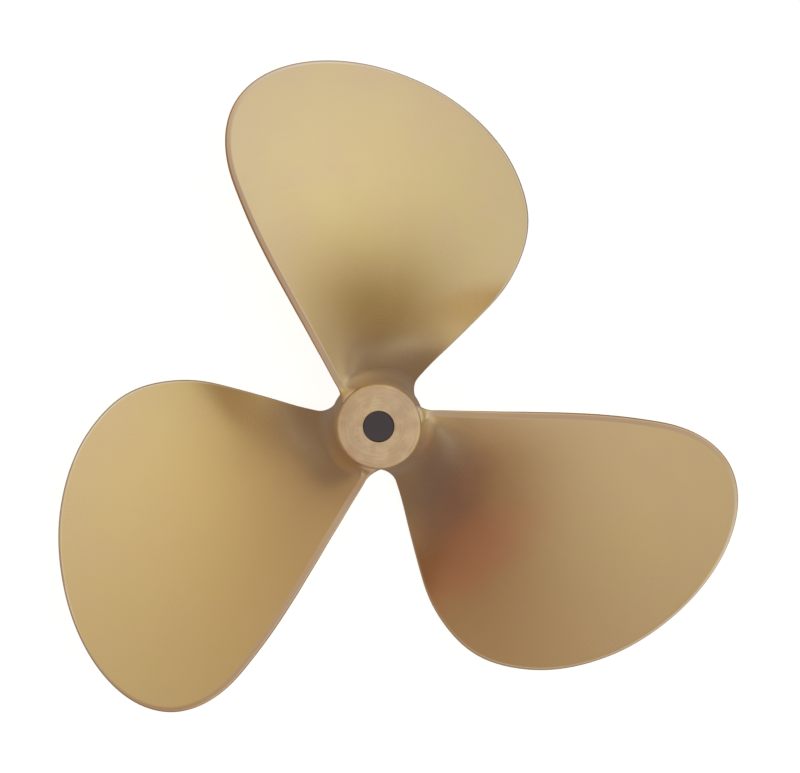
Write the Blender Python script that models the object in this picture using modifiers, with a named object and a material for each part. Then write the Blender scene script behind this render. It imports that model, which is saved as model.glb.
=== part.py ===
"""A fixed-pitch ship propeller with three blades, cast in one piece of bronze.

It lies as it is stored on a floor: the forward end of the hub is down, the shaft axis is
vertical along Z, and the aft side, which pushes the water, faces up. The origin is on the
shaft axis in the plane of the hub's forward face. It is right-handed: seen from aft, which is
from above here, it turns clockwise, and the swept, rounded edge of each blade leads.
"""

import math

import bmesh
import bpy
import numpy as np

# Driving dimensions, in metres and degrees
DIAMETER = 0.600
PITCH = 0.480
ROOT_PITCH = 0.420
BLADE_COUNT = 3
HUB_LENGTH = 0.116
HUB_AFT_RADIUS = 0.0342
HUB_FORWARD_RADIUS = 0.0392
SHAFT_DIAMETER = 0.035
BORE_TAPER = 1 / 10
RAKE = math.radians(4)

TIP_RADIUS = DIAMETER / 2
FIRST_BLADE_ANGLE = 90.0

# The blade outline as seen along the shaft: radius as a share of the tip radius, then the
# leading and the trailing edge in degrees from the blade's generator line
OUTLINE = (
    (0.09, -43.0, 46.0),
    (0.14, -42.8, 43.0),
    (0.20, -42.5, 39.5),
    (0.30, -43.4, 36.5),
    (0.40, -43.8, 35.0),
    (0.50, -43.5, 34.0),
    (0.60, -41.1, 33.0),
    (0.70, -36.6, 31.8),
    (0.80, -28.0, 30.3),
    (0.90, -14.6, 27.1),
    (0.96, -2.6, 23.1),
    (1.00, 13.0, 13.0),
)

# Where the generator line crosses the axis, and how far out the pitch is reduced
GENERATOR_HEIGHT = 0.060
FULL_PITCH_RADIUS = 0.40 * TIP_RADIUS

# Blade thickness on its centre line and at its edges, and the depth of the edges' rounding
AXIS_THICKNESS = 0.027
TIP_THICKNESS = 0.0055
LEADING_EDGE_THICKNESS = 0.0042
TRAILING_EDGE_THICKNESS = 0.0050
LEADING_NOSE = 0.0022
TRAILING_NOSE = 0.0014
TRAILING_SPREAD = 0.4

# The flat dressed along the trailing edge, which faces aft: its width, and the most of the
# edge's thickness that it takes
DRESSED_ROOT_WIDTH = 0.0048
DRESSED_TIP_WIDTH = 0.0024
DRESSED_SHARE = 0.70
LEAST_FLAT = 0.0003

# How full the aft face is between its edges, led in to the axis, and how soon it fills out
FACE_LIFT = 0.0050
LEADING_LIFT_POWER = 2
TRAILING_LIFT_POWER = 5

# The fillets that join a blade to the hub, and the part of their quarter circle that is used
SIDE_FILLET = 0.0140
LEADING_FILLET = 0.0125
TRAILING_FILLET = 0.0045
FILLET_SHARE = 0.96
FACE_FILLET_POWER = 10
ROOT_RADIUS = 0.026
SPINE_END_RADIUS = 0.70 * TIP_RADIUS
END_LAND = 0.0006

# Rows of the blade mesh: along the outline from the hub to the tip, and across each side
FILLET_ROWS = 10
OUTER_ROWS = 24
NOSE_ROWS = 4
SIDE_ROWS = 8
SEAM = 0.00002
TINY = 1e-9

# Hub details
AFT_RIM = 0.0024
FORWARD_RIM = 0.0025
RIM_POINTS = 4
BORE_CHAMFER = 0.0010
TURNED_STEPS = 72
KEYWAY_WIDTH = 0.010
KEYWAY_DEPTH = 0.0033
KEYWAY_LENGTH = 0.078
KEYWAY_OVERRUN = 0.002

BRONZE = (0.62, 0.45, 0.22, 1.0)
ROUGHNESS = 0.35
SHARP_ANGLE = math.radians(38)


def clear_scene():
    for old in list(bpy.data.objects):
        bpy.data.objects.remove(old, do_unlink=True)


def collection(name):
    made = bpy.data.collections.new(name)
    bpy.context.scene.collection.children.link(made)
    return made


def bronze_material():
    material = bpy.data.materials.new("bronze")
    material.use_nodes = True
    shader = material.node_tree.nodes["Principled BSDF"]
    shader.inputs["Base Color"].default_value = BRONZE
    shader.inputs["Metallic"].default_value = 1.0
    shader.inputs["Roughness"].default_value = ROUGHNESS
    return material


def smooth_through(stations, values, at):
    """A curve through all the stations, with no corner at any of them."""
    slopes = np.gradient(values, stations)
    k = np.clip(np.searchsorted(stations, at) - 1, 0, len(stations) - 2)
    span = stations[k + 1] - stations[k]
    t = (at - stations[k]) / span
    return (
        values[k] * (1 + 2 * t) * (1 - t) ** 2
        + values[k + 1] * t**2 * (3 - 2 * t)
        + span * t * (1 - t) * (slopes[k] * (1 - t) - slopes[k + 1] * t)
    )


def outline_angle(signed_root):
    """Angle of the outline in radians. The signed root is the square root of one less the
    radius share, below zero on the leading edge, so the curve runs smoothly round the tip."""
    shares = np.array([row[0] for row in OUTLINE])
    leading = np.array([row[1] for row in OUTLINE])
    trailing = np.array([row[2] for row in OUTLINE])
    roots = np.sqrt(1 - shares)
    stations = np.concatenate([-roots, roots[-2::-1]])
    angles = np.concatenate([leading, trailing[-2::-1]])
    return np.radians(smooth_through(stations, angles, signed_root))


def pitch_at(radius):
    """The pitch is full over the outer blade and eases off towards the hub."""
    root = HUB_FORWARD_RADIUS
    share = np.clip((FULL_PITCH_RADIUS - radius) / (FULL_PITCH_RADIUS - root), 0, 1)
    return PITCH - (PITCH - ROOT_PITCH) * share**2


def pitch_angle(radius):
    return np.arctan(pitch_at(radius) / (2 * math.pi * radius))


def face_point(radius, angle):
    """A point on the screw surface of the blade's aft face."""
    height = (
        GENERATOR_HEIGHT
        + pitch_at(radius) * angle / (2 * math.pi)
        + (radius - HUB_FORWARD_RADIUS) * math.tan(RAKE)
    )
    return np.stack([radius * np.cos(angle), radius * np.sin(angle), height], axis=-1)


def face_normal(radius, angle):
    """Outward normal of the aft face, which leans towards the leading edge."""
    phi = pitch_angle(radius)
    return np.stack(
        [np.sin(phi) * np.sin(angle), -np.sin(phi) * np.cos(angle), np.cos(phi)],
        axis=-1,
    )


def hub_radius(height):
    """The hub is a plain cone between its two ends."""
    share = np.clip(height / HUB_LENGTH, 0, 1)
    return HUB_FORWARD_RADIUS + (HUB_AFT_RADIUS - HUB_FORWARD_RADIUS) * share


def filleted(point, direction, fillet):
    """Moves a point of the blade's skin outwards where it is close to the hub. The fillet
    stays between the two ends of the hub, which are machined flat."""
    height = point[:, 2]
    above = np.hypot(point[:, 0], point[:, 1]) - hub_radius(height)
    share = np.clip((fillet - above) / fillet, 0, 1) * FILLET_SHARE
    growth = fillet * (1 - np.sqrt(1 - share**2))
    climb = np.abs(direction[:, 2] * growth)
    aft_room = HUB_LENGTH - AFT_RIM - END_LAND - height
    forward_room = height - FORWARD_RIM - END_LAND
    room = np.maximum(np.where(direction[:, 2] > 0, aft_room, forward_room), END_LAND)
    squeeze = np.tanh(climb / room) * room / np.maximum(climb, TINY)
    growth *= np.where(climb > TINY, squeeze, 1)
    moved = point + direction * growth[:, None]
    # It grows round the hub, and not straight past it
    kept = np.hypot(point[:, 0], point[:, 1]) / np.hypot(moved[:, 0], moved[:, 1])
    moved[:, :2] *= kept[:, None]
    return moved


def outline_rows():
    """The signed roots of the outline's rows, from the leading edge at the hub, round the
    tip, to the trailing edge at the hub, and the radius of the centre line at each row."""
    fillet_top = HUB_FORWARD_RADIUS + SIDE_FILLET
    near = np.linspace(ROOT_RADIUS, fillet_top, FILLET_ROWS, endpoint=False)
    first_root = math.sqrt(1 - fillet_top / TIP_RADIUS)
    outward = np.linspace(0, 1, OUTER_ROWS + 1)
    outer = TIP_RADIUS * (1 - (first_root * (1 - outward)) ** 2)
    radii = np.concatenate([near, outer])
    roots = np.sqrt(np.clip(1 - radii / TIP_RADIUS, 0, 1))
    spine = np.concatenate(
        [near, fillet_top + (SPINE_END_RADIUS - fillet_top) * np.sin(outward * math.pi / 2)]
    )
    signed = np.concatenate([-roots, roots[-2::-1]])
    return signed, np.concatenate([spine, spine[-2::-1]])


def spine_angle(radius):
    """The centre line runs midway between the two edges."""
    root = np.sqrt(1 - radius / TIP_RADIUS)
    return (outline_angle(-root) + outline_angle(root)) / 2


def centre_thickness(radius):
    return AXIS_THICKNESS + (TIP_THICKNESS - AXIS_THICKNESS) * radius / TIP_RADIUS


def blended(leading, trailing, share):
    """Goes from the leading edge's value to the trailing edge's as the share goes to one."""
    return leading + (trailing - leading) * share


def blade_grid():
    """Points of one blade: rows along the outline, and columns from the centre line of the
    aft face, round the edge, to the centre line of the forward face."""
    signed, spine = outline_rows()
    radius = TIP_RADIUS * (1 - signed**2)
    angle = outline_angle(signed)
    edge = face_point(radius, angle)
    normal = face_normal(radius, angle)
    along = np.gradient(edge, axis=0)
    outward = np.cross(along, normal)
    outward /= np.linalg.norm(outward, axis=1)[:, None]

    trailing = np.clip(0.5 + signed / TRAILING_SPREAD, 0, 1)
    thickness = blended(LEADING_EDGE_THICKNESS, TRAILING_EDGE_THICKNESS, trailing)
    nose = blended(LEADING_NOSE, TRAILING_NOSE, trailing)
    edge_fillet = blended(LEADING_FILLET, TRAILING_FILLET, trailing)
    power = blended(LEADING_LIFT_POWER, TRAILING_LIFT_POWER, trailing)
    spine_turn = spine_angle(spine)
    centre = centre_thickness(spine)

    # The dressed flat takes the corner between the face and the nose
    phi = pitch_angle(radius)
    dressed = blended(DRESSED_ROOT_WIDTH, DRESSED_TIP_WIDTH, radius / TIP_RADIUS)
    flat = trailing * np.minimum(dressed, DRESSED_SHARE * thickness / np.sin(phi))
    first_turn = trailing * phi - math.pi / 2
    flat_inset = nose * (1 - np.cos(first_turn)) + np.maximum(flat * np.cos(phi), LEAST_FLAT)
    nose_height = (thickness - flat * np.sin(phi)) / (1 - np.sin(first_turn))

    def inward(inset, share):
        """Radius and angle, a share of the way from that inset to the centre line."""
        start = edge - outward * inset[:, None]
        start_radius = np.hypot(start[:, 0], start[:, 1])
        start_angle = np.arctan2(start[:, 1], start[:, 0])
        return (
            start_radius + (spine - start_radius) * share,
            start_angle + (spine_turn - start_angle) * share,
        )

    def lift(r, share):
        return FACE_LIFT * (1 - r / TIP_RADIUS) ** 2 * (1 - (1 - share) ** power)

    columns = []
    shares = np.linspace(0, 1, SIDE_ROWS + 1) ** 1.5
    for share in shares[::-1]:
        r, a = inward(flat_inset, share)
        point = face_point(r, a) + face_normal(r, a) * lift(r, share)[:, None]
        fillet = blended(edge_fillet, SIDE_FILLET, 1 - (1 - share) ** FACE_FILLET_POWER)
        columns.append(filleted(point, face_normal(r, a), fillet))

    for share in np.linspace(0, 1, NOSE_ROWS + 1):
        turn = blended(first_turn, math.pi / 2, share)
        inset = nose * (1 - np.cos(turn))
        depth = thickness - nose_height * (1 - np.sin(turn))
        point = edge - outward * inset[:, None] - normal * depth[:, None]
        direction = outward * np.cos(turn)[:, None] - normal * np.sin(turn)[:, None]
        columns.append(filleted(point, direction, edge_fillet))

    for share in shares[1:]:
        r, a = inward(nose, share)
        depth = blended(thickness, centre, 1 - (1 - share) ** 2) - lift(r, share)
        point = face_point(r, a) - face_normal(r, a) * depth[:, None]
        fillet = blended(edge_fillet, SIDE_FILLET, share**2)
        columns.append(filleted(point, -face_normal(r, a), fillet))
    return np.stack(columns, axis=1)


def blade_object(index, mesh, group):
    made = bpy.data.objects.new(f"blade_{index + 1}", mesh)
    made.rotation_euler.z = math.radians(FIRST_BLADE_ANGLE + index * 360 / BLADE_COUNT)
    made.hide_render = True
    made.display_type = "WIRE"
    group.objects.link(made)
    return made


def blade_mesh():
    """A flat grid wrapped round the blade, sewn together along its centre lines and closed
    at the root, which is inside the hub."""
    points = blade_grid()
    rows, columns = points.shape[:2]
    bm = bmesh.new()
    bmesh.ops.create_grid(bm, x_segments=rows - 1, y_segments=columns - 1, size=1)
    for vertex in bm.verts:
        row = round((vertex.co.x + 1) / 2 * (rows - 1))
        column = round((vertex.co.y + 1) / 2 * (columns - 1))
        vertex.co = points[row, column]
    bmesh.ops.remove_doubles(bm, verts=bm.verts, dist=SEAM)
    open_edges = [edge for edge in bm.edges if edge.is_boundary]
    bmesh.ops.contextual_create(bm, geom=open_edges)
    bmesh.ops.recalc_face_normals(bm, faces=bm.faces)
    mesh = bpy.data.meshes.new("blade")
    bm.to_mesh(mesh)
    bm.free()
    mesh.shade_smooth()
    mesh.set_sharp_from_angle(angle=SHARP_ANGLE)
    return mesh


def bore_radius(height):
    return (SHAFT_DIAMETER - BORE_TAPER * height) / 2


def hub_profile():
    """Half section of the hub: down its outside, and back up the tapered bore."""
    aft_arc = [
        (
            HUB_AFT_RADIUS - AFT_RIM * (1 - math.sin(turn)),
            HUB_LENGTH - AFT_RIM * (1 - math.cos(turn)),
        )
        for turn in np.linspace(0, math.pi / 2, RIM_POINTS)
    ]
    forward_arc = [
        (
            HUB_FORWARD_RADIUS - FORWARD_RIM * (1 - math.cos(turn)),
            FORWARD_RIM * (1 - math.sin(turn)),
        )
        for turn in np.linspace(0, math.pi / 2, RIM_POINTS)
    ]
    return [
        *aft_arc,
        *forward_arc,
        (bore_radius(0) + BORE_CHAMFER, 0),
        (bore_radius(BORE_CHAMFER), BORE_CHAMFER),
        (bore_radius(HUB_LENGTH - BORE_CHAMFER), HUB_LENGTH - BORE_CHAMFER),
        (bore_radius(HUB_LENGTH) + BORE_CHAMFER, HUB_LENGTH),
    ]


def hub_object(group):
    bm = bmesh.new()
    corners = [bm.verts.new((r, 0, z)) for r, z in hub_profile()]
    for first, second in zip(corners, corners[1:] + corners[:1]):
        bm.edges.new((first, second))
    mesh = bpy.data.meshes.new("propeller_casting")
    bm.to_mesh(mesh)
    bm.free()
    hub = bpy.data.objects.new("propeller_casting", mesh)
    group.objects.link(hub)
    turned = hub.modifiers.new("turned", "SCREW")
    turned.steps = TURNED_STEPS
    turned.render_steps = TURNED_STEPS
    turned.use_merge_vertices = True
    turned.merge_threshold = 0.0001
    return hub


def keyway_cutter(group):
    """A slot along the wide end of the bore. It stops short of the aft face."""
    lean = math.atan(BORE_TAPER / 2)
    floor = SHAFT_DIAMETER / 2 + KEYWAY_DEPTH
    middle = KEYWAY_LENGTH / 2
    bm = bmesh.new()
    bmesh.ops.create_cube(bm, size=1)
    size = (KEYWAY_WIDTH, floor, KEYWAY_LENGTH + 2 * KEYWAY_OVERRUN)
    bmesh.ops.scale(bm, vec=size, verts=bm.verts)
    mesh = bpy.data.meshes.new("keyway")
    bm.to_mesh(mesh)
    bm.free()
    cutter = bpy.data.objects.new("keyway_cutter", mesh)
    cutter.location = (0, floor / 2 - middle * math.tan(lean), middle - KEYWAY_OVERRUN)
    cutter.rotation_euler.x = lean
    cutter.hide_render = True
    cutter.display_type = "WIRE"
    group.objects.link(cutter)
    return cutter


def boolean(target, other, operation):
    made = target.modifiers.new(other.name, "BOOLEAN")
    made.operation = operation
    made.object = other


def build():
    clear_scene()
    shown = collection("ship_propeller")
    cutters = collection("cutters")
    casting = hub_object(shown)
    mesh = blade_mesh()
    for index in range(BLADE_COUNT):
        boolean(casting, blade_object(index, mesh, cutters), "UNION")
    boolean(casting, keyway_cutter(cutters), "DIFFERENCE")
    casting.data.materials.append(bronze_material())


build()
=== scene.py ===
"""The finished ship propeller: one polished bronze casting, with its blades faired into the hub,
its edges dressed, its hub turned and its bore tapered and keyed, on a pale studio floor."""

import math

import bmesh
import bpy
import numpy as np
from bpy.props import FloatProperty, FloatVectorProperty, IntProperty, PointerProperty
from mathutils import Matrix, Vector, kdtree


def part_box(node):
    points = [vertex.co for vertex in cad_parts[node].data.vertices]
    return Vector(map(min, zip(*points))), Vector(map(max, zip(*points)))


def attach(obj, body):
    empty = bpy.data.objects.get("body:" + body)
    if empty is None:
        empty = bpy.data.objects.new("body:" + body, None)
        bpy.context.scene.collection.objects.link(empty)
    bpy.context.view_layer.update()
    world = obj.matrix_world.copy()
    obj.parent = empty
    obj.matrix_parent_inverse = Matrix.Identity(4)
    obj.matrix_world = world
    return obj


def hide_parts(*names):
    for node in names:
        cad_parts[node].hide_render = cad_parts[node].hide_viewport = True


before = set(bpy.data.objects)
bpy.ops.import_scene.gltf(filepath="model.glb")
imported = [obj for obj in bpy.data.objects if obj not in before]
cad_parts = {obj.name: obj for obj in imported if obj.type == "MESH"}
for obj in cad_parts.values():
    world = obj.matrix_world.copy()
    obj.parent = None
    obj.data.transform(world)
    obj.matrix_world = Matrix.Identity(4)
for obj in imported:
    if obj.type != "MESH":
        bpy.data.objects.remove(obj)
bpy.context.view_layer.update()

bl_info = {
    "name": "Ship propeller",
    "version": (1, 0, 0),
    "blender": (4, 5, 0),
    "location": "3D View > Sidebar > Propeller",
    "description": "Models and finishes a cast bronze ship propeller around its CAD solid",
    "category": "Add Mesh",
}

CASTING = "propeller_casting"
HUB_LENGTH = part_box(CASTING)[1][2]
BLADE_COUNT = 3
FIRST_BLADE = math.radians(90)
TRIM = 0.0003  # the finished tips stay this far inside the CAD's

# The blade outline as seen along the shaft: radius as a share of the tip radius, then the
# leading and the trailing edge in degrees from the blade's generator line
OUTLINE = (
    (0.09, -43.0, 46.0),
    (0.14, -42.8, 43.0),
    (0.20, -42.5, 39.5),
    (0.30, -43.4, 36.5),
    (0.40, -43.8, 35.0),
    (0.50, -43.5, 34.0),
    (0.60, -41.1, 33.0),
    (0.70, -36.6, 31.8),
    (0.80, -28.0, 30.3),
    (0.90, -14.6, 27.1),
    (0.96, -2.6, 23.1),
    (1.00, 13.0, 13.0),
)


def length(name, default, description):
    """A length in metres."""
    return FloatProperty(
        name=name, default=default, description=description, unit="LENGTH", precision=4
    )


def angle(name, default, description):
    """An angle, given in degrees."""
    return FloatProperty(
        name=name, default=math.radians(default), description=description, subtype="ANGLE"
    )


def share(name, default, description):
    """A value from 0 to 1."""
    return FloatProperty(
        name=name, default=default, description=description, min=0, max=1, subtype="FACTOR"
    )


def colour(name, default, description):
    """A colour in linear light."""
    return FloatVectorProperty(
        name=name, default=default, description=description, subtype="COLOR", size=3
    )


def spot(name, default, description):
    """A place or a size in three directions, in metres."""
    return FloatVectorProperty(
        name=name, default=default, description=description, subtype="XYZ", unit="LENGTH", size=3
    )


class PropellerShape(bpy.types.PropertyGroup):
    """Sizes of the casting"""

    diameter: length("Diameter", 0.600, "Circle that the blade tips run on")
    pitch: length("Pitch", 0.480, "Advance in one turn, over the outer blade")
    root_pitch: length("Root pitch", 0.420, "Advance in one turn, at the hub")
    full_pitch_radius: length("Full pitch radius", 0.120, "Where the full pitch starts")
    rake: angle("Rake", 4.0, "Lean of the blades towards the aft side")
    generator_height: length("Generator height", 0.060, "Where the generator line meets the hub")
    hub_aft_radius: length("Aft hub radius", 0.0342, "Radius of the hub's aft face")
    hub_forward_radius: length("Forward hub radius", 0.0392, "Radius of the hub's forward face")
    aft_rim: length("Aft rim", 0.0024, "Rounding of the aft rim")
    forward_rim: length("Forward rim", 0.0025, "Rounding of the forward rim")
    end_land: length("End land", 0.0006, "Hub left bare between a rim and a fillet")
    fillet: length("Fillet", 0.0140, "Radius of the fillet between a blade's side and the hub")
    leading_fillet: length("Leading fillet", 0.0125, "Radius of the fillet at the leading edge")
    trailing_fillet: length("Trailing fillet", 0.0110, "Radius of the fillet at the trailing edge")
    face_lift: length("Face lift", 0.0050, "Fullness of the aft face, led in to the shaft axis")
    axis_thickness: length("Axis thickness", 0.027, "Blade thickness, led in to the shaft axis")
    tip_thickness: length("Tip thickness", 0.0055, "Blade thickness, led out to the tip circle")
    leading_edge: length("Leading edge", 0.0042, "Thickness of the leading edge")
    trailing_edge: length("Trailing edge", 0.0050, "Thickness of the trailing edge")
    leading_nose: length("Leading nose", 0.0022, "Depth of the leading edge's rounding")
    trailing_nose: length("Trailing nose", 0.0014, "Depth of the trailing edge's rounding")
    dressed_root: length("Dressed width at the root", 0.0048, "Flat along the trailing edge")
    dressed_tip: length("Dressed width at the tip", 0.0024, "Flat along the trailing edge")
    dressed_share: share("Dressed share", 0.70, "Most of the edge's thickness that the flat takes")
    shaft_diameter: length("Shaft", 0.035, "Bore diameter at the forward face")
    bore_taper: share("Bore taper", 0.1, "Loss of diameter for each unit of length")
    bore_chamfer: length("Bore chamfer", 0.0010, "Chamfer at the two mouths of the bore")
    keyway_width: length("Keyway width", 0.010, "Width of the keyway")
    keyway_depth: length("Keyway depth", 0.0033, "Depth of the keyway")
    keyway_length: length("Keyway length", 0.078, "Length of the keyway from the forward face")


class PropellerFinish(bpy.types.PropertyGroup):
    """Colours and polish of the bronze, with the light and shade painted into them"""

    bronze: colour("Bronze", (0.88, 0.70, 0.44), "The polished metal")
    golden: colour("Golden bronze", (0.875, 0.705, 0.42), "Where it has yellowed")
    pink: colour("Pink bronze", (0.89, 0.69, 0.46), "Where the polish is freshest")
    # A coppery reflection, painted on the third blade as a stain
    painted_reflection: colour("Copper stain", (0.95, 0.57, 0.38), "Stain on the third blade")
    # Shade painted on the third blade as a dark patch near the hub
    painted_shade_patch: colour("Tarnish", (0.55, 0.41, 0.37), "Dark stain beside it, near the hub")
    # Brown painted near the hub as the shade of the blade roots; the hub's turned ends also take it
    # into their lathe cuts
    brown_and_root_shade: colour("Brown stain", (0.66, 0.49, 0.34), "Thin film that is left in the hollows")
    # A paler, less orange colour in the throats: partly a dull film where no wheel reaches, partly
    # painted light over the orange that the throats mirror from the bronze
    film_and_painted_light: colour("Pale film", (0.80, 0.71, 0.60), "Where no wheel reaches, close to the hub")
    dressed: colour("Dressed edge", (0.83, 0.63, 0.42), "Newly filed metal, trailing edge")
    # A highlight painted round the leading edges, where their rounding catches the light
    bright: colour("Bright edge", (0.98, 0.88, 0.74), "Rubbed metal round the leading edge")
    turned: colour("Turned face", (0.83, 0.63, 0.42), "Machined ends of the hub")
    # Sheen painted on the machined ends, as lighter sectors round the axis
    painted_sheen: colour("Fresh cut", (0.95, 0.76, 0.51), "Brighter sectors of the machined ends")
    bored: colour("Bore", (0.24, 0.19, 0.16), "Dull machined wall of the bore")
    pink_amount: share("Pink amount", 0.70, "How much of the fresh polish shows")
    brown_and_root_shade_amount: share("Brown amount", 0.45, "How much of the brown film shows")
    film_and_painted_light_amount: share("Film amount", 0.80, "How much of the pale film shows")
    painted_shade_patch_amount: share("Tarnish amount", 0.75, "How much of the tarnish shows")
    painted_reflection_amount: share("Copper amount", 0.68, "How much of the copper stain shows")
    polish: share("Blade roughness", 0.26, "Roughness of the blades")
    unpolished: share("Hub roughness", 0.48, "Roughness where no wheel reaches")
    turned_roughness: share("Turned roughness", 0.33, "Roughness of the machined ends")
    bored_roughness: share("Bored roughness", 0.55, "Roughness of the bore")
    # Middle, size and turn of the painted coppery reflection
    painted_reflection_patch_place: spot("Stain", (0.075, -0.110, 0.0), "Middle of the copper stain")
    painted_reflection_patch_reach: spot("Stain size", (0.088, 0.038, 1.0), "Half its length and half its width")
    painted_reflection_patch_turn: angle("Stain turn", 38.0, "Which way it runs")
    # Middle, size and turn of the painted shade on the third blade
    painted_shade_patch_place: spot("Tarnish", (0.056, -0.069, 0.0), "Middle of the tarnish")
    painted_shade_patch_reach: spot("Tarnish size", (0.076, 0.036, 1.0), "Half its length, half its width")
    painted_shade_patch_turn: angle("Tarnish turn", 79.0, "Which way it runs")


class PropellerStudio(bpy.types.PropertyGroup):
    """Floor, light and camera"""

    key: colour("Key", (0.47, 0.50, 0.36), "Main lamp, high on the right")
    high: colour("High", (0.05, 0.13, 0.40), "Lamp near the top, on the right")
    back: colour("Back", (0.32, 0.34, 0.17), "Lamp at the back")
    right: colour("Right", (0.33, 0.41, 0.42), "Lamp on the lower right")
    front: colour("Front", (0.42, 0.47, 0.39), "Lamp at the front")
    low_back: colour("Low back", (0.47, 0.57, 0.60), "Lamp near the floor, back right")
    low_front: colour("Low front", (0.49, 0.53, 0.41), "Lamp near the floor, at the front")
    right_flag: colour("Right flag", (0.21, 0.20, 0.21), "Light that the right screen stops")
    back_flag: colour("Back flag", (0.16, 0.15, 0.11), "Light that the back screen stops")
    front_flag: colour("Front flag", (0.30, 0.32, 0.23), "Light that the front screen stops")
    room: colour("Room", (0.42, 0.32, 0.22), "Light from the rest of the room")
    backdrop: colour("Backdrop", (0.96, 0.96, 0.96), "What the camera sees past the floor")
    floor: colour("Floor", (0.50, 0.50, 0.50), "The pale floor")
    floor_glow: colour("Floor glow", (0.86, 0.86, 0.86), "Light that the camera sees in the floor")
    # Shade painted on the floor under the hub, seen through the bore
    painted_bore_shade: colour("Covered glow", (0.055, 0.045, 0.048), "The same, under the hub's bore")
    mirrored: colour("Mirrored floor", (0.25, 0.19, 0.15), "What the bronze mirrors from below")
    sheet: colour("Sheet", (0.45, 0.50, 0.48), "Light that each pale sheet on the floor adds to it")
    lens: FloatProperty(name="Lens", default=130.07, description="Focal length in millimetres")
    camera_roll: angle("Camera roll", 0.43, "Turn of the picture")
    camera_place: spot("Camera", (-0.0272, 0.0604, 2.3107), "Place above the aft face")
    camera_aim: spot("Camera aim", (0.01683, 0.03217, 0.0), "Where it looks, on the aft face")


class PropellerMesh(bpy.types.PropertyGroup):
    """Fineness of the mesh"""

    fillet_rows: IntProperty(name="Fillet rows", default=14, description="Mesh rows of a fillet")
    outer_rows: IntProperty(name="Outer rows", default=70, description="Mesh rows of a blade")
    nose_rows: IntProperty(name="Nose rows", default=8, description="Mesh rows round an edge")
    side_rows: IntProperty(name="Side rows", default=26, description="Mesh rows of each side")


class PropellerSettings(bpy.types.PropertyGroup):
    """Everything that the panel shows"""

    shape: PointerProperty(type=PropellerShape)
    rows: PointerProperty(type=PropellerMesh)
    finish: PointerProperty(type=PropellerFinish)
    studio: PointerProperty(type=PropellerStudio)


# The studio's lamps: name, azimuth from +X and angle from straight up in degrees, and spread
LAMPS = (
    ("key", 7, 44, 14),
    ("high", 43, 25, 20),
    ("back", 92, 39, 25),
    ("right", -43, 51, 19),
    ("front", -104, 41, 18),
    ("low_back", 43, 92, 17),
    ("low_front", -65, 94, 20),
)

# Dark screens between the lamps, in the same terms
FLAGS = (
    ("right_flag", 5, 67, 24),
    ("back_flag", 92, 86, 14),
    ("front_flag", -107, 52, 32),
)

# The pale sheets on the floor, which light the undersides of the blades: middle and brightness
SHEETS = (
    ((0.42, -0.11, 0.0), 1.4),
    ((-0.11, 0.42, 0.0), 0.6),
    ((0.53, 0.30, 0.0), 1.2),
    ((0.0, -0.60, 0.0), 1.2),
)
SHEET_REACH = 0.15

# The floor and the card that the bronze mirrors lie just under the hub, and touch nothing
FLOOR_DROP, CARD_DROP = 0.0005, 0.0010
FLOOR_RADIUS = 6.0
FLOOR_SIDES = 96
# The floor's glow comes in between these radii, under the wall of the hub; inside them a dim glow
# is painted shade, seen through the bore
GLOW_START, GLOW_END = 0.036, 0.040
SENSOR_WIDTH = 36.0

# Points that are closer than this become one: in a blade, in the hub, and in the casting
BLADE_MERGE, HUB_MERGE, CASTING_MERGE = 0.00002, 0.00001, 0.00003
# Points of the hub's half section, round each rim and down the side, and steps round the axis
RIM_POINTS, SIDE_POINTS, HUB_STEPS = 7, 30, 180
# Where the surface turns by more than this, the edge stays sharp
SHARP_ANGLE = math.radians(38)

# The join of the fillets and the hub is smoothed this often, in a band of heights above the
# hub's side, and not this close to its rims
JOIN_PASSES = 12
JOIN_LOW, JOIN_HIGH = -0.0005, 0.0035
JOIN_MARGIN = 0.0012

# A face of the hub's ends is level and lies this close to the end
LEVEL = 0.999
END_DEPTH = 0.0001

# Rows past the tip over which the leading edge's painted highlight gives way to the trailing edge's
# dressed colour
TIP_ROWS = 20

# A face that no wheel reaches is close to the hub's side, and steep: where each of the two
# starts, and over how much more it comes in fully
THROAT_HEIGHT, THROAT_FADE = 0.011, 0.006
THROAT_LEAN, THROAT_LEAN_FADE = 0.88, 0.25


# Shape of the blades and the hub


def smooth_through(stations, values, at):
    """A curve through all the stations, with no corner at any of them."""
    slopes = np.gradient(values, stations)
    k = np.clip(np.searchsorted(stations, at) - 1, 0, len(stations) - 2)
    span = stations[k + 1] - stations[k]
    t = (at - stations[k]) / span
    return (
        values[k] * (1 + 2 * t) * (1 - t) ** 2
        + values[k + 1] * t**2 * (3 - 2 * t)
        + span * t * (1 - t) * (slopes[k] * (1 - t) - slopes[k + 1] * t)
    )


def outline_angle(signed_root):
    """Angle of the outline. The signed root is the square root of one less the radius share,
    below zero on the leading edge, so that the curve runs smoothly round the tip."""
    shares, leading, trailing = np.array(OUTLINE).T
    roots = np.sqrt(1 - shares)
    stations = np.concatenate([-roots, roots[-2::-1]])
    angles = np.concatenate([leading, trailing[-2::-1]])
    return np.radians(smooth_through(stations, angles, signed_root))


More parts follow.
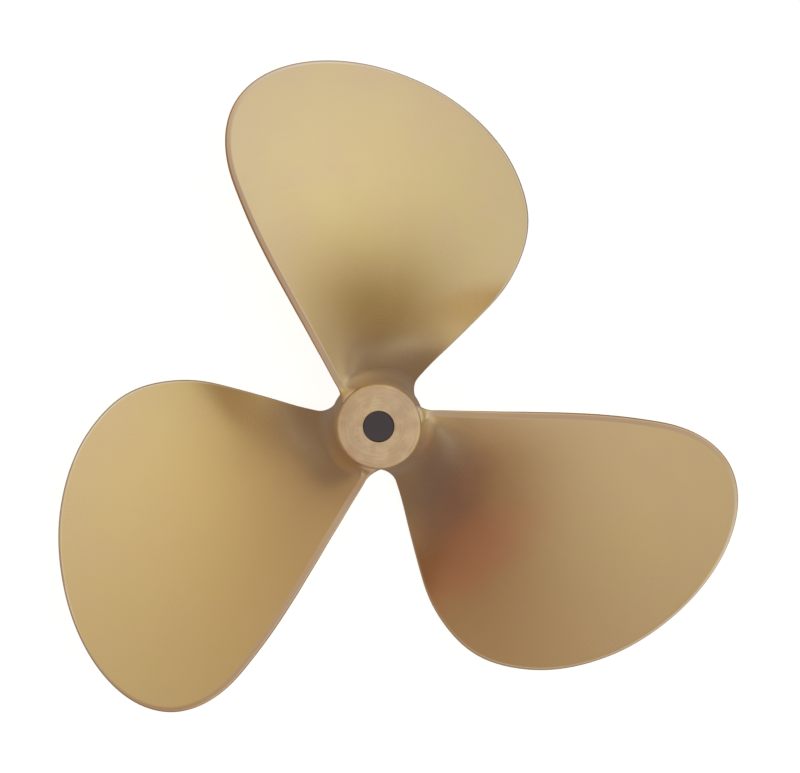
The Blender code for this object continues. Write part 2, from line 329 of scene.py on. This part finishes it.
class Blade:
    """One blade on the generator line along +X, as rows of points along its outline."""

    # The rows start inside the hub, and the centre line stops short of the tip
    root_radius = 0.026
    spine_share = 0.70
    # A fillet leaves out the last of its quarter circle, where it would run along the hub
    fillet_share = 0.985
    # The section of the leading edge becomes the trailing edge's over this much signed root
    edge_change = 0.4
    # Rows across the dressed flat, and its least width
    flat_stops = (0.12, 0.5, 0.88)
    least_flat = 0.0003
    # How fast the aft face rises from the leading and from the trailing edge
    leading_power = 2
    trailing_power = 5
    # How much the columns crowd towards the edges
    crowding = 1.5
    # How fast each side takes on its own fillet, and how the forward side is crowned
    aft_fillet_power = 10
    forward_fillet_power = 2
    crown_power = 2

    def __init__(self, settings):
        self.shape = settings.shape
        self.rows = settings.rows
        self.tip = self.shape.diameter / 2 - TRIM

    def pitch(self, radius):
        shape = self.shape
        inner = shape.full_pitch_radius - shape.hub_forward_radius
        loss = np.clip((shape.full_pitch_radius - radius) / inner, 0, 1)
        return shape.pitch - (shape.pitch - shape.root_pitch) * loss**2

    def face_point(self, radius, turn):
        """A point on the screw surface of the aft face."""
        height = (
            self.shape.generator_height
            + self.pitch(radius) * turn / (2 * math.pi)
            + (radius - self.shape.hub_forward_radius) * math.tan(self.shape.rake)
        )
        return np.stack([radius * np.cos(turn), radius * np.sin(turn), height], axis=-1)

    def pitch_angle(self, radius):
        return np.arctan(self.pitch(radius) / (2 * math.pi * radius))

    def face_normal(self, radius, turn):
        """The way out of the aft face, square to the blade's section."""
        phi = self.pitch_angle(radius)
        return np.stack(
            [np.sin(phi) * np.sin(turn), -np.sin(phi) * np.cos(turn), np.cos(phi)], axis=-1
        )

    def hub_radius(self, height):
        shape = self.shape
        along = np.clip(height / HUB_LENGTH, 0, 1)
        return shape.hub_forward_radius + (shape.hub_aft_radius - shape.hub_forward_radius) * along

    def filleted(self, point, direction, fillet):
        """Moves a point of the skin outwards where it is close to the hub. The fillet stays
        between the two ends of the hub, which are machined flat."""
        shape = self.shape
        height = point[:, 2]
        above = np.hypot(point[:, 0], point[:, 1]) - self.hub_radius(height)
        near = np.clip((fillet - above) / fillet, 0, 1) * self.fillet_share
        growth = fillet * (1 - np.sqrt(1 - near**2))
        climb = direction[:, 2] * growth
        aft_room = HUB_LENGTH - shape.aft_rim - shape.end_land - height
        forward_room = height - shape.forward_rim - shape.end_land
        room = np.maximum(np.where(climb > 0, aft_room, forward_room), shape.end_land)
        moved = point + direction * growth[:, None]
        moved[:, 2] = height + np.sign(climb) * np.tanh(np.abs(climb) / room) * room
        # It grows round the hub, and not straight past it
        kept = np.hypot(point[:, 0], point[:, 1]) / np.hypot(moved[:, 0], moved[:, 1])
        moved[:, :2] *= kept[:, None]
        return moved

    def outline_rows(self):
        """Signed roots of the rows from the leading edge at the hub, round the tip, to the
        trailing edge at the hub, and the radius of the centre line at each row."""
        top = self.shape.hub_forward_radius + self.shape.fillet
        near = np.linspace(self.root_radius, top, self.rows.fillet_rows, endpoint=False)
        outward = np.linspace(0, 1, self.rows.outer_rows + 1)
        outer = self.tip * (1 - (math.sqrt(1 - top / self.tip) * (1 - outward)) ** 2)
        roots = np.sqrt(np.clip(1 - np.concatenate([near, outer]) / self.tip, 0, 1))
        reach = self.spine_share * self.tip - top
        spine = np.concatenate([near, top + reach * np.sin(outward * math.pi / 2)])
        signed = np.concatenate([-roots, roots[-2::-1]])
        return signed, np.concatenate([spine, spine[-2::-1]])

    def points(self):
        """Columns run from the centre line of the aft face, round the edge, to the centre line
        of the forward face."""
        shape = self.shape
        signed, spine = self.outline_rows()
        radius = self.tip * (1 - signed**2)
        edge = self.face_point(radius, outline_angle(signed))
        normal = self.face_normal(radius, outline_angle(signed))
        outward = np.cross(np.gradient(edge, axis=0), normal)
        outward /= np.linalg.norm(outward, axis=1)[:, None]

        trailing = np.clip(0.5 + signed / self.edge_change, 0, 1)
        thickness = shape.leading_edge + trailing * (shape.trailing_edge - shape.leading_edge)
        phi = self.pitch_angle(radius)
        dressed = shape.dressed_root + (shape.dressed_tip - shape.dressed_root) * radius / self.tip
        flat = trailing * np.minimum(dressed, shape.dressed_share * thickness / np.sin(phi))
        edge_fillet = shape.leading_fillet + trailing * (
            shape.trailing_fillet - shape.leading_fillet
        )
        power = self.leading_power + trailing * (self.trailing_power - self.leading_power)
        cut = flat * np.sin(phi)
        nose = shape.leading_nose + trailing * (shape.trailing_nose - shape.leading_nose)
        first_turn = trailing * phi - math.pi / 2
        bevel_end = nose * (1 - np.cos(first_turn))
        inner = bevel_end + np.maximum(flat * np.cos(phi), self.least_flat)
        nose_height = (thickness - cut) / (1 - np.sin(first_turn))
        spine_root = np.sqrt(1 - spine / self.tip)
        spine_turn = (outline_angle(-spine_root) + outline_angle(spine_root)) / 2
        centre = shape.axis_thickness + (
            shape.tip_thickness - shape.axis_thickness
        ) * spine / self.tip

        def side(inset, along):
            """Radius and turn, a share of the way from that inset in to the centre line."""
            start = edge - outward * inset[:, None]
            start_radius = np.hypot(start[:, 0], start[:, 1])
            start_turn = np.arctan2(start[:, 1], start[:, 0])
            return (
                start_radius + (spine - start_radius) * along,
                start_turn + (spine_turn - start_turn) * along,
            )

        def lift(r, along):
            """How far the aft face stands out from the screw surface through the edge."""
            return shape.face_lift * (1 - r / self.tip) ** 2 * (1 - (1 - along) ** power)

        def side_fillet(growth):
            """From the edge's fillet at 0 to the side's at 1."""
            return edge_fillet + (shape.fillet - edge_fillet) * growth

        columns = []
        inward = np.linspace(0, 1, self.rows.side_rows + 1) ** self.crowding
        for along in inward[::-1]:
            r, a = side(inner, along)
            point = self.face_point(r, a) + self.face_normal(r, a) * lift(r, along)[:, None]
            fillet = side_fillet(1 - (1 - along) ** self.aft_fillet_power)
            columns.append(self.filleted(point, self.face_normal(r, a), fillet))
        face_edge = self.face_point(*side(inner, 0))
        nose_start = edge - outward * bevel_end[:, None] - normal * cut[:, None]
        for stop in self.flat_stops:
            point = face_edge + (nose_start - face_edge) * stop
            columns.append(self.filleted(point, normal, edge_fillet))

        for stop in np.linspace(0, 1, self.rows.nose_rows + 1):
            turn = (first_turn + (math.pi / 2 - first_turn) * stop)[:, None]
            depth = (thickness - nose_height)[:, None] + nose_height[:, None] * np.sin(turn)
            point = edge - outward * nose[:, None] * (1 - np.cos(turn)) - normal * depth
            direction = outward * np.cos(turn) - normal * np.sin(turn)
            columns.append(self.filleted(point, direction, edge_fillet))

        for along in inward[1:]:
            r, a = side(nose, along)
            crown = (centre - thickness) * (1 - (1 - along) ** self.crown_power)
            depth = thickness + crown - lift(r, along)
            point = self.face_point(r, a) - self.face_normal(r, a) * depth[:, None]
            fillet = side_fillet(along**self.forward_fillet_power)
            columns.append(self.filleted(point, -self.face_normal(r, a), fillet))
        return np.stack(columns, axis=1), edge, inner


def new_object(name, bm):
    """An object in the scene from a bmesh, which is freed."""
    mesh = bpy.data.meshes.new(name)
    bm.to_mesh(mesh)
    bm.free()
    made = bpy.data.objects.new(name, mesh)
    bpy.context.scene.collection.objects.link(made)
    return made


def blade_object(settings):
    """A flat grid wrapped round the blade, sewn together along its centre lines and closed at
    the root, which is inside the hub."""
    points, edge, width = Blade(settings).points()
    rows, columns = points.shape[:2]
    bm = bmesh.new()
    bmesh.ops.create_grid(bm, x_segments=rows - 1, y_segments=columns - 1, size=1)
    for vertex in bm.verts:
        row = round((vertex.co.x + 1) / 2 * (rows - 1))
        column = round((vertex.co.y + 1) / 2 * (columns - 1))
        vertex.co = points[row, column]
    bmesh.ops.remove_doubles(bm, verts=bm.verts, dist=BLADE_MERGE)
    open_edges = [side for side in bm.edges if side.is_boundary]
    bmesh.ops.contextual_create(bm, geom=open_edges)
    bmesh.ops.recalc_face_normals(bm, faces=bm.faces)
    return new_object("blade", bm), edge, width


def bore_radius(shape, height):
    """The bore narrows from the forward face to the aft face."""
    return (shape.shaft_diameter - shape.bore_taper * height) / 2


def hub_object(shape):
    """The hub, spun from its half section: down its outside, and back up the bore."""
    rim_turns = np.linspace(0, math.pi / 2, RIM_POINTS)
    side_heights = np.linspace(HUB_LENGTH - shape.aft_rim, shape.forward_rim, SIDE_POINTS)[1:-1]
    slope = (shape.hub_aft_radius - shape.hub_forward_radius) / HUB_LENGTH
    section = [
        *(
            (
                shape.hub_aft_radius - shape.aft_rim * (1 - math.sin(turn)),
                HUB_LENGTH - shape.aft_rim * (1 - math.cos(turn)),
            )
            for turn in rim_turns
        ),
        *((shape.hub_forward_radius + slope * height, height) for height in side_heights),
        *(
            (
                shape.hub_forward_radius - shape.forward_rim * (1 - math.cos(turn)),
                shape.forward_rim * (1 - math.sin(turn)),
            )
            for turn in rim_turns
        ),
        (bore_radius(shape, 0) + shape.bore_chamfer, 0),
        (bore_radius(shape, shape.bore_chamfer), shape.bore_chamfer),
        (
            bore_radius(shape, HUB_LENGTH - shape.bore_chamfer),
            HUB_LENGTH - shape.bore_chamfer,
        ),
        (bore_radius(shape, HUB_LENGTH) + shape.bore_chamfer, HUB_LENGTH),
    ]
    bm = bmesh.new()
    corners = [bm.verts.new((r, 0, z)) for r, z in section]
    edges = [bm.edges.new(pair) for pair in zip(corners, corners[1:] + corners[:1])]
    bmesh.ops.spin(
        bm,
        geom=corners + edges,
        cent=(0, 0, 0),
        axis=(0, 0, 1),
        angle=2 * math.pi,
        steps=HUB_STEPS,
        use_merge=True,
    )
    bmesh.ops.remove_doubles(bm, verts=bm.verts, dist=HUB_MERGE)
    bmesh.ops.recalc_face_normals(bm, faces=bm.faces)
    return new_object("hub", bm)


def keyway_object(shape):
    """The cutter of the slot along the wide end of the bore."""
    lean = math.atan(shape.bore_taper / 2)
    depth = shape.shaft_diameter / 2 + shape.keyway_depth
    overrun = 0.004  # the cutter reaches this far out of the forward face
    bm = bmesh.new()
    bmesh.ops.create_cube(bm, size=1)
    size = (shape.keyway_width, depth, shape.keyway_length + overrun)
    bmesh.ops.scale(bm, vec=size, verts=bm.verts)
    bmesh.ops.rotate(bm, matrix=Matrix.Rotation(lean, 3, "X"), verts=bm.verts)
    middle = shape.keyway_length / 2
    place = (0, depth / 2 - middle * math.tan(lean), middle - overrun / 2)
    bmesh.ops.translate(bm, vec=place, verts=bm.verts)
    return new_object("keyway", bm)


def joined(base, others, operation):
    """The base with the others joined to it or cut from it, as a new mesh."""
    for other in others:
        step = base.modifiers.new(other.name, "BOOLEAN")
        step.operation = operation
        step.object = other
    graph = bpy.context.evaluated_depsgraph_get()
    mesh = bpy.data.meshes.new_from_object(base.evaluated_get(graph))
    base.modifiers.clear()
    base.data = mesh
    for other in others:
        bpy.data.objects.remove(other)


def smooth_join(bm, shape, blade):
    """Fairs the line where the fillets run out on the hub."""
    for _ in range(JOIN_PASSES):
        near = []
        for vertex in bm.verts:
            radius = math.hypot(vertex.co.x, vertex.co.y)
            above = radius - float(blade.hub_radius(vertex.co.z))
            ends = min(vertex.co.z - shape.forward_rim, HUB_LENGTH - shape.aft_rim - vertex.co.z)
            if JOIN_LOW < above < JOIN_HIGH and ends > JOIN_MARGIN:
                near.append(vertex)
        bmesh.ops.smooth_vert(
            bm, verts=near, factor=0.5, use_axis_x=True, use_axis_y=True, use_axis_z=True
        )


# Surfaces of the casting, in the order of its material slots
SATIN, TURNED, BORED = range(3)


def surface_of(face, shape):
    """Which finish a face of the casting has."""
    centre = face.calc_center_median()
    radius = math.hypot(centre.x, centre.y)
    level = abs(face.normal.z) > LEVEL and radius < shape.hub_forward_radius
    at_end = centre.z > HUB_LENGTH - END_DEPTH or centre.z < END_DEPTH
    on_aft_rim = centre.z > HUB_LENGTH - shape.aft_rim and radius > shape.hub_aft_radius / 2
    if (level and at_end) or on_aft_rim:
        return TURNED
    if radius < bore_radius(shape, centre.z) + shape.keyway_depth + shape.bore_chamfer:
        return BORED
    return SATIN


def mark_edges(mesh, edge, width, count):
    """Stores how far each point is from the nearest blade's outline, as a share of the width of
    the dressed strip there, and whether that is the leading edge."""
    tree = kdtree.KDTree(len(edge) * count)
    for index in range(count):
        turned = Matrix.Rotation(FIRST_BLADE + index * 2 * math.pi / count, 3, "Z")
        for k, point in enumerate(edge):
            tree.insert(turned @ Vector(point), index * len(edge) + k)
    tree.balance()
    across = mesh.attributes.new("edge_share", "FLOAT", "POINT")
    leading = mesh.attributes.new("leading", "FLOAT", "POINT")
    tip_row = len(edge) // 2
    for k, vertex in enumerate(mesh.vertices):
        _, nearest, distance = tree.find(vertex.co)
        row = nearest % len(edge)
        across.data[k].value = distance / width[row]
        leading.data[k].value = max(0.0, min(1.0, (tip_row + TIP_ROWS - row) / TIP_ROWS))


def mark_throats(mesh, blade):
    """Stores where the fillets stand up against the hub, which no polishing wheel reaches."""
    throat = mesh.attributes.new("throat", "FLOAT", "POINT")
    for k, vertex in enumerate(mesh.vertices):
        above = math.hypot(vertex.co.x, vertex.co.y) - float(blade.hub_radius(vertex.co.z))
        close = (THROAT_HEIGHT - above) / THROAT_FADE
        steep = (THROAT_LEAN - abs(vertex.normal.z)) / THROAT_LEAN_FADE
        throat.data[k].value = max(0.0, min(1.0, close, steep))


class PROPELLER_OT_casting(bpy.types.Operator):
    """Model the one-piece bronze casting: hub, blades, bore and keyway"""

    bl_idname = "propeller.casting"
    bl_label = "Propeller casting"

    def execute(self, context):
        settings = context.scene.propeller
        shape = settings.shape
        first, edge, width = blade_object(settings)
        blades = [first]
        for index in range(1, BLADE_COUNT):
            copy = bpy.data.objects.new(f"blade_{index}", first.data.copy())
            context.scene.collection.objects.link(copy)
            blades.append(copy)
        for index, blade in enumerate(blades):
            turn = FIRST_BLADE + index * 2 * math.pi / BLADE_COUNT
            blade.data.transform(Matrix.Rotation(turn, 4, "Z"))

        casting = hub_object(shape)
        casting.name = "finished_casting"
        joined(casting, blades, "UNION")
        joined(casting, [keyway_object(shape)], "DIFFERENCE")

        casting.data.materials.clear()
        for finish in (satin_bronze, turned_bronze, bored_bronze):
            casting.data.materials.append(finish(settings.finish))
        bm = bmesh.new()
        bm.from_mesh(casting.data)
        bmesh.ops.remove_doubles(bm, verts=bm.verts, dist=CASTING_MERGE)
        smooth_join(bm, shape, Blade(settings))
        bm.normal_update()
        for face in bm.faces:
            face.smooth = True
            face.material_index = surface_of(face, shape)
        bm.to_mesh(casting.data)
        bm.free()
        casting.data.set_sharp_from_angle(angle=SHARP_ANGLE)
        mark_edges(casting.data, edge, width, BLADE_COUNT)
        mark_throats(casting.data, Blade(settings))

        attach(casting, "root")
        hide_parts(CASTING)
        return {"FINISHED"}


# Materials

# Shares of the dressed strip's width over which it ends, and the radii over which it starts;
# along the leading edges the strip is a painted highlight
STRIP_FADE = (0.85, 1.25)
STRIP_START = (0.042, 0.120)
# Radii over which the shade painted brown near the hub ends, and how ragged that is
ROOT_SHADE_FADE = (0.050, 0.105)
ROOT_SHADE_RAGGED = 0.03
# Shares of its reach over which a painted patch ends, and how ragged that is
PATCH_FADE = (0.25, 1.15)
PATCH_RAGGED = 0.5
# Phase of the lathe tool's rings, in radians for each metre of radius
RING_PHASE = 8500.0
# The greasiest spots of the bore are this much of its colour
GREASE = 0.45


class Shade:
    """A value, vector or colour on a surface. Python's operators on it add Math nodes."""

    def __init__(self, tree, socket):
        self.tree = tree
        self.socket = socket

    def math(self, operation, *others):
        values = dict(enumerate((self, *others)))
        return add_node(self.tree, "ShaderNodeMath", {"operation": operation}, values)

    def vector(self, operation, *others, output=0):
        values = dict(enumerate((self, *others)))
        kind = "ShaderNodeVectorMath"
        return add_node(self.tree, kind, {"operation": operation}, values, output)

    def __add__(self, other):
        return self.math("ADD", other)

    def __sub__(self, other):
        return self.math("SUBTRACT", other)

    def __mul__(self, other):
        return self.math("MULTIPLY", other)

    def __truediv__(self, other):
        return self.math("DIVIDE", other)

    def __rsub__(self, other):
        return add_node(self.tree, "ShaderNodeMath", {"operation": "SUBTRACT"}, {0: other, 1: self})

    __radd__ = __add__
    __rmul__ = __mul__

    def between(self, low, high):
        """Runs smoothly from 0 at low to 1 at high."""
        settings = {"interpolation_type": "SMOOTHSTEP"}
        values = {"Value": self, "From Min": low, "From Max": high}
        return add_node(self.tree, "ShaderNodeMapRange", settings, values)


def add_node(tree, kind, settings=None, values=None, output=0):
    """Adds a node, with its settings first and then the values or links of its sockets."""
    node = tree.nodes.new(kind)
    for name, setting in (settings or {}).items():
        setattr(node, name, setting)
    for key, value in (values or {}).items():
        socket = node.inputs[key]
        if isinstance(value, Shade):
            tree.links.new(value.socket, socket)
        elif socket.type == "RGBA" and len(value) == 3:
            socket.default_value = (*value, 1.0)
        else:
            socket.default_value = value
    return Shade(tree, node.outputs[output])


# The Mix node has sockets of the same name for values and colours, so the latter go by number
FIRST_COLOUR, SECOND_COLOUR, MIXED_COLOUR = 6, 7, 2


def mixed(mask, first, second):
    """The first colour where the mask is 0, and the second where it is 1."""
    values = {"Factor": mask, FIRST_COLOUR: first, SECOND_COLOUR: second}
    return add_node(mask.tree, "ShaderNodeMix", {"data_type": "RGBA"}, values, MIXED_COLOUR)


def scaled(vector, factor):
    """The vector or colour times the factor. One of the two is a Shade."""
    tree = (factor if isinstance(factor, Shade) else vector).tree
    values = {0: vector, "Scale": factor}
    return add_node(tree, "ShaderNodeVectorMath", {"operation": "SCALE"}, values)


def new_material(name):
    """A metallic material, and the piece's own coordinates in it."""
    material = bpy.data.materials.new(name)
    material.use_nodes = True
    tree = material.node_tree
    shader = tree.nodes["Principled BSDF"]
    shader.inputs["Metallic"].default_value = 1.0
    place = add_node(tree, "ShaderNodeTexCoord", output="Object")
    return material, tree, shader, place


def noise(place, scale, detail, roughness=0.5):
    """Clouds of values from 0 to 1, mostly near 0.5."""
    values = {"Vector": place, "Scale": scale, "Detail": detail, "Roughness": roughness}
    return add_node(place.tree, "ShaderNodeTexNoise", {}, values)


def stored(tree, name):
    """A value that the mesh holds at each of its points."""
    return add_node(tree, "ShaderNodeAttribute", {"attribute_name": name}, output="Fac")


def flattened(place):
    """The place as seen along the shaft axis."""
    return place.vector("MULTIPLY", (1.0, 1.0, 0.0))


def axis_distance(place):
    """Distance from the shaft axis."""
    return flattened(place).vector("LENGTH", output="Value")


def link(value, node, name):
    """Joins a value, vector or colour to the socket of that name."""
    value.tree.links.new(value.socket, node.inputs[name])


def swept(place, radius, across, along):
    """Coordinates that run round the shaft axis, closely spaced across it and widely along it."""
    around = flattened(place).vector("NORMALIZE")
    outward = add_node(place.tree, "ShaderNodeCombineXYZ", {}, {"Z": radius * across})
    return scaled(around, along).vector("ADD", outward)


def bumped(heights, strength, distance):
    """The normal of a surface with these heights on it."""
    values = {"Strength": strength, "Distance": distance, "Height": heights}
    return add_node(heights.tree, "ShaderNodeBump", {}, values)


def patch(place, ragged, middle, reach, turn):
    """1 in the middle of an oval patch, fading out to a ragged edge."""
    values = {
        "Vector": place,
        "Location": tuple(middle),
        "Rotation": (0.0, 0.0, turn),
        "Scale": tuple(reach),
    }
    oval = add_node(place.tree, "ShaderNodeMapping", {"vector_type": "TEXTURE"}, values)
    return 1 - (axis_distance(oval) + ragged).between(*PATCH_FADE)


def satin_bronze(finish):
    """Polished blades: broad changes of hue, arcs left by the polishing wheel, filed edges,
    and painted light: shade near the hub, shade and a coppery reflection on the third blade,
    paler throats and a highlight along the leading edges.
    """
    material, tree, shader, place = new_material("satin_bronze")
    radius = axis_distance(place)
    broad = noise(place, scale=7.0, detail=2.0)
    mild = noise(place, scale=30.0, detail=0.0)
    cloudy = noise(place, scale=26.0, detail=2.0)
    grain = noise(place, scale=900.0, detail=2.0)
    arcs = swept(place, radius, across=420.0, along=5.0)
    strokes = noise(arcs, scale=1.0, detail=3.0, roughness=0.6)

    throat = stored(tree, "throat")
    strip = (1 - stored(tree, "edge_share").between(*STRIP_FADE)) * radius.between(*STRIP_START)
    # Painted shade: the blades darken to brown towards the hub
    root_shade = 1 - (radius + (cloudy - 0.5) * ROOT_SHADE_RAGGED).between(*ROOT_SHADE_FADE)
    ragged = (cloudy - 0.5) * PATCH_RAGGED
    # A coppery reflection painted on the third blade, as an oval patch
    painted_reflection_patch = patch(place, ragged, finish.painted_reflection_patch_place, finish.painted_reflection_patch_reach, finish.painted_reflection_patch_turn)
    # Shade painted on the third blade near the hub, as a dark oval patch
    dark = patch(place, ragged, finish.painted_shade_patch_place, finish.painted_shade_patch_reach, finish.painted_shade_patch_turn)

    hue = mixed(broad.between(0.38, 0.64), tuple(finish.bronze), tuple(finish.golden))
    hue = mixed(cloudy.between(0.42, 0.78) * finish.pink_amount, hue, tuple(finish.pink))
    hue = mixed(root_shade * finish.brown_and_root_shade_amount, hue, tuple(finish.brown_and_root_shade))
    # The throats take a paler colour: partly film, partly painted light over their mirrored orange
    hue = mixed(throat * finish.film_and_painted_light_amount, hue, tuple(finish.film_and_painted_light))
    hue = mixed(dark * finish.painted_shade_patch_amount, hue, tuple(finish.painted_shade_patch))
    hue = mixed(painted_reflection_patch * finish.painted_reflection_amount, hue, tuple(finish.painted_reflection))
    # Along the leading edges the strip is a painted highlight, along the trailing edges the filed
    # metal's colour
    edge = mixed(stored(tree, "leading"), tuple(finish.dressed), tuple(finish.bright))
    link(mixed(strip, hue, edge), shader, "Base Color")

    polish = finish.polish + throat * (finish.unpolished - finish.polish)
    roughness = polish + (cloudy - 0.5) * 0.08 + (strokes - 0.5) * 0.04 + (grain - 0.5) * 0.02
    link(roughness, shader, "Roughness")
    heights = broad * 0.6 + mild * 0.06 + strokes * 0.0008
    link(bumped(heights, strength=0.35, distance=0.002), shader, "Normal")
    return material


def turned_bronze(finish):
    """The faced ends of the hub and its aft rim, with the rings that the lathe tool leaves, and a
    sheen painted on in sectors.
    """
    material, tree, shader, place = new_material("turned_bronze")
    radius = axis_distance(place)
    wander = noise(place, scale=60.0, detail=3.0)
    scuffs = noise(place, scale=140.0, detail=3.0)
    rings = (radius * RING_PHASE + wander * 3.0).math("SINE") * 0.5 + 0.5
    fine = swept(place, radius, across=900.0, along=1.5)
    cuts = noise(fine, scale=1.0, detail=3.0, roughness=0.6)
    wide = swept(place, radius, across=70.0, along=1.8)
    sectors = noise(wide, scale=1.0, detail=2.0)

    # Painted sheen: lighter sectors round the machined ends
    hue = mixed(sectors.between(0.35, 0.65), tuple(finish.turned), tuple(finish.painted_sheen))
    hue = mixed(cuts.between(0.45, 0.75) * 0.5, hue, tuple(finish.brown_and_root_shade))
    link(hue, shader, "Base Color")
    roughness = finish.turned_roughness + (cuts - 0.5) * 0.20 + (scuffs - 0.5) * 0.10
    link(roughness, shader, "Roughness")
    heights = rings * 0.3 + cuts * 0.9
    link(bumped(heights, strength=0.7, distance=0.0003), shader, "Normal")
    return material


def bored_bronze(finish):
    """The reamed taper and its keyway, dull from handling and old grease."""
    material, tree, shader, place = new_material("bored_bronze")
    greasy = noise(place, scale=90.0, detail=4.0)
    reamed = noise(place.vector("MULTIPLY", (80.0, 80.0, 1600.0)), scale=1.0, detail=2.0)
    dark = tuple(GREASE * part for part in finish.bored)
    hue = mixed(greasy.between(0.35, 0.65), tuple(finish.bored), dark)
    link(hue, shader, "Base Color")
    link(finish.bored_roughness + (greasy - 0.5) * 0.2, shader, "Roughness")
    heights = greasy + reamed * 0.3
    link(bumped(heights, strength=0.3, distance=0.0002), shader, "Normal")
    return material


# Stage


class PROPELLER_OT_stage(bpy.types.Operator):
    """Set the floor, the soft light and the camera"""

    bl_idname = "propeller.stage"
    bl_label = "Studio stage"

    def execute(self, context):
        studio = context.scene.propeller.studio
        make_floor(studio)
        make_card(studio)
        make_light(context.scene, studio)
        make_camera(context.scene, studio)
        context.scene.view_settings.view_transform = "Standard"
        return {"FINISHED"}


def floor_disc(name, drop):
    bm = bmesh.new()
    bmesh.ops.create_circle(bm, cap_ends=True, segments=FLOOR_SIDES, radius=FLOOR_RADIUS)
    bmesh.ops.translate(bm, vec=(0, 0, -drop), verts=bm.verts)
    return new_object(name, bm)


def make_floor(studio):
    """A pale floor that the camera sees. Its own glow stops where the hub covers it, and a dim glow
    there paints the shade seen through the bore.
    """
    floor = floor_disc("floor", FLOOR_DROP)
    material, tree, shader, place = new_material("pale_floor")
    shader.inputs["Metallic"].default_value = 0.0
    shader.inputs["Base Color"].default_value = (*studio.floor, 1.0)
    shader.inputs["Roughness"].default_value = 0.9
    shader.inputs["Specular IOR Level"].default_value = 0.1
    shader.inputs["Emission Strength"].default_value = 1.0
    uncovered = axis_distance(place).between(GLOW_START, GLOW_END)
    glow = mixed(uncovered, tuple(studio.painted_bore_shade), tuple(studio.floor_glow))
    link(glow, shader, "Emission Color")
    floor.data.materials.append(material)
    floor.visible_glossy = False


def make_card(studio):
    """What the bronze mirrors from below, a dim floor with pale sheets on it. The camera doesn't
    see it."""
    card = floor_disc("floor_card", CARD_DROP)
    material = bpy.data.materials.new("floor_card")
    material.use_nodes = True
    tree = material.node_tree
    tree.nodes.clear()
    place = add_node(tree, "ShaderNodeTexCoord", output="Object")
    seen = tuple(studio.mirrored)
    for middle, brightness in SHEETS:
        gap = place.vector("DISTANCE", middle, output="Value")
        pale = ((gap * gap) / -(SHEET_REACH**2)).math("EXPONENT") * brightness
        seen = scaled(tuple(studio.sheet), pale).vector("ADD", seen)
    glow = add_node(tree, "ShaderNodeEmission", {}, {"Color": seen, "Strength": 1.0})
    link(glow, tree.nodes.new("ShaderNodeOutputMaterial"), "Surface")
    card.data.materials.append(material)
    card.visible_camera = False
    card.visible_diffuse = False
    card.visible_shadow = False


def lobe(direction, azimuth, zenith, spread):
    """1 towards a lamp or a screen, falling off smoothly round it."""
    turn, lean = math.radians(azimuth), math.radians(zenith)
    towards = (math.sin(lean) * math.cos(turn), math.sin(lean) * math.sin(turn), math.cos(lean))
    facing = direction.vector("DOT_PRODUCT", towards, output="Value")
    return ((facing - 1.0) / math.radians(spread) ** 2).math("EXPONENT")


def make_light(scene, studio):
    """Soft light from all round: a wide lobe for each lamp, less one for each dark screen."""
    world = bpy.data.worlds.new("studio")
    scene.world = world
    world.use_nodes = True
    tree = world.node_tree
    background = tree.nodes["Background"]
    direction = add_node(tree, "ShaderNodeTexCoord", output="Generated")
    soft = tuple(studio.room)
    for name, *where in LAMPS:
        given = tuple(getattr(studio, name))
        soft = scaled(given, lobe(direction, *where)).vector("ADD", soft)
    for name, *where in FLAGS:
        stopped = tuple(-part for part in getattr(studio, name))
        soft = scaled(stopped, lobe(direction, *where)).vector("ADD", soft)
    seen = add_node(tree, "ShaderNodeLightPath", output="Is Camera Ray")
    link(mixed(seen, soft, tuple(studio.backdrop)), background, "Color")


def make_camera(scene, studio):
    """The camera looks straight down the shaft axis, a little from the upper left."""
    aft_face = Vector((0, 0, HUB_LENGTH))
    place = aft_face + Vector(studio.camera_place)
    aim = aft_face + Vector(studio.camera_aim)
    data = bpy.data.cameras.new("camera")
    data.lens = studio.lens
    data.sensor_width = SENSOR_WIDTH
    camera = bpy.data.objects.new("camera", data)
    ahead = (aim - place).normalized()
    right = ahead.cross(Vector((0, 1, 0))).normalized()
    up = right.cross(ahead)
    turned = Matrix((right, up, -ahead)).transposed().to_4x4()
    rolled = Matrix.Rotation(studio.camera_roll, 4, "Z")
    camera.matrix_world = Matrix.Translation(place) @ turned @ rolled
    scene.collection.objects.link(camera)
    scene.camera = camera


class PROPELLER_PT_panel(bpy.types.Panel):
    """Sizes and colours of the propeller, and the steps that build it"""

    bl_idname = "PROPELLER_PT_panel"
    bl_label = "Ship propeller"
    bl_space_type = "VIEW_3D"
    bl_region_type = "UI"
    bl_category = "Propeller"

    def draw(self, context):
        settings = context.scene.propeller
        for group in (settings.shape, settings.rows, settings.finish, settings.studio):
            box = self.layout.box()
            for name in group.__annotations__:
                box.prop(group, name)
        self.layout.operator(PROPELLER_OT_casting.bl_idname)
        self.layout.operator(PROPELLER_OT_stage.bl_idname)


CLASSES = (
    PropellerShape,
    PropellerFinish,
    PropellerStudio,
    PropellerMesh,
    PropellerSettings,
    PROPELLER_OT_casting,
    PROPELLER_OT_stage,
    PROPELLER_PT_panel,
)


def register():
    for made in CLASSES:
        bpy.utils.register_class(made)
    bpy.types.Scene.propeller = PointerProperty(type=PropellerSettings)


def unregister():
    del bpy.types.Scene.propeller
    for made in reversed(CLASSES):
        bpy.utils.unregister_class(made)


def main():
    register()
    bpy.ops.propeller.stage()
    bpy.ops.propeller.casting()


if __name__ == "__main__":
    main()
